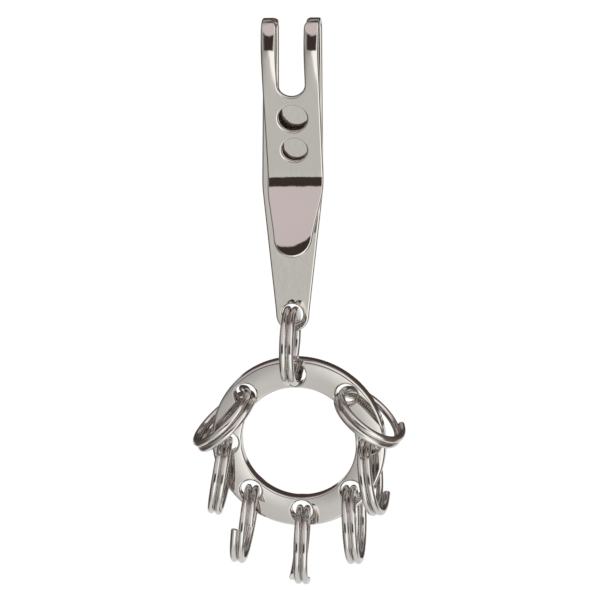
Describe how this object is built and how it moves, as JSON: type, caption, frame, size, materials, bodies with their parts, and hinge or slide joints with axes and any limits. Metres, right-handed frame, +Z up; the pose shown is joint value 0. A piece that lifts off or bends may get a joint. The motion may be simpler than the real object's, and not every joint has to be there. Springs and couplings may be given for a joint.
{
  "type": "pocket key clip",
  "caption": "Folded spring clip that hangs on a pocket edge, linked by a split ring to a flat round key disc with split rings around its rim.",
  "frame": {"origin": "inside top of the clip's fold, where the pocket edge sits, midway across the clip", "axes": "+Z up along the clip, away from the key disc; -Y to the front, the side of the flared tongue; +X to the right seen from the front"},
  "size_m": [0.041, 0.0154, 0.1116],
  "materials": {
    "polished_strip": "mirror-polished nickel plate on spring steel",
    "polished_disc": "mirror-polished nickel plate",
    "plated_wire": "bright nickel plate on spring wire"
  },
  "bodies": {
    "clip": {"spring_clip": "polished_strip"},
    "link": {"link_ring": "plated_wire"},
    "disc": {"key_disc": "polished_disc"},
    "upper_right_ring": {"key_ring_upper_right": "plated_wire"},
    "right_ring": {"key_ring_right": "plated_wire"},
    "lower_right_ring": {"key_ring_lower_right": "plated_wire"},
    "bottom_ring": {"key_ring_bottom": "plated_wire"},
    "lower_left_ring": {"key_ring_lower_left": "plated_wire"},
    "left_ring": {"key_ring_left": "plated_wire"},
    "upper_left_ring": {"key_ring_upper_left": "plated_wire"}
  },
  "joints": [
    {"name": "link_swing", "type": "hinge", "parent": "clip", "child": "link", "pos_m": [0, 0.002, -0.0577], "axis": [0, 1, 0], "range_deg": [-60, 60]},
    {"name": "disc_swing", "type": "hinge", "parent": "link", "child": "disc", "pos_m": [0.00018, 0, -0.06353], "axis": [0.9996, 0, -0.0277], "range_deg": [-30, 30]},
    {"name": "upper_right_ring_swing", "type": "hinge", "parent": "disc", "child": "upper_right_ring", "pos_m": [0.01035, 0.002, -0.07309], "axis": [0, 1, 0], "range_deg": [-110, 0]},
    {"name": "right_ring_swing", "type": "hinge", "parent": "disc", "child": "right_ring", "pos_m": [0.01478, 0.002, -0.08246], "axis": [0, 1, 0], "range_deg": [-30, 2]},
    {"name": "lower_right_ring_swing", "type": "hinge", "parent": "disc", "child": "lower_right_ring", "pos_m": [0.01128, 0.002, -0.09223], "axis": [0, 1, 0], "range_deg": [-20, 18]},
    {"name": "bottom_ring_swing", "type": "hinge", "parent": "disc", "child": "bottom_ring", "pos_m": [0.00191, 0.002, -0.09666], "axis": [0, 1, 0], "range_deg": [-20, 20]},
    {"name": "lower_left_ring_swing", "type": "hinge", "parent": "disc", "child": "lower_left_ring", "pos_m": [-0.00786, 0.002, -0.09316], "axis": [0, 1, 0], "range_deg": [-25, 15]},
    {"name": "left_ring_swing", "type": "hinge", "parent": "disc", "child": "left_ring", "pos_m": [-0.01229, 0.002, -0.08379], "axis": [0, 1, 0], "range_deg": [-8, 25]},
    {"name": "upper_left_ring_swing", "type": "hinge", "parent": "disc", "child": "upper_left_ring", "pos_m": [-0.00879, 0.002, -0.07402], "axis": [0, 1, 0], "range_deg": [0, 106]}
  ]
}
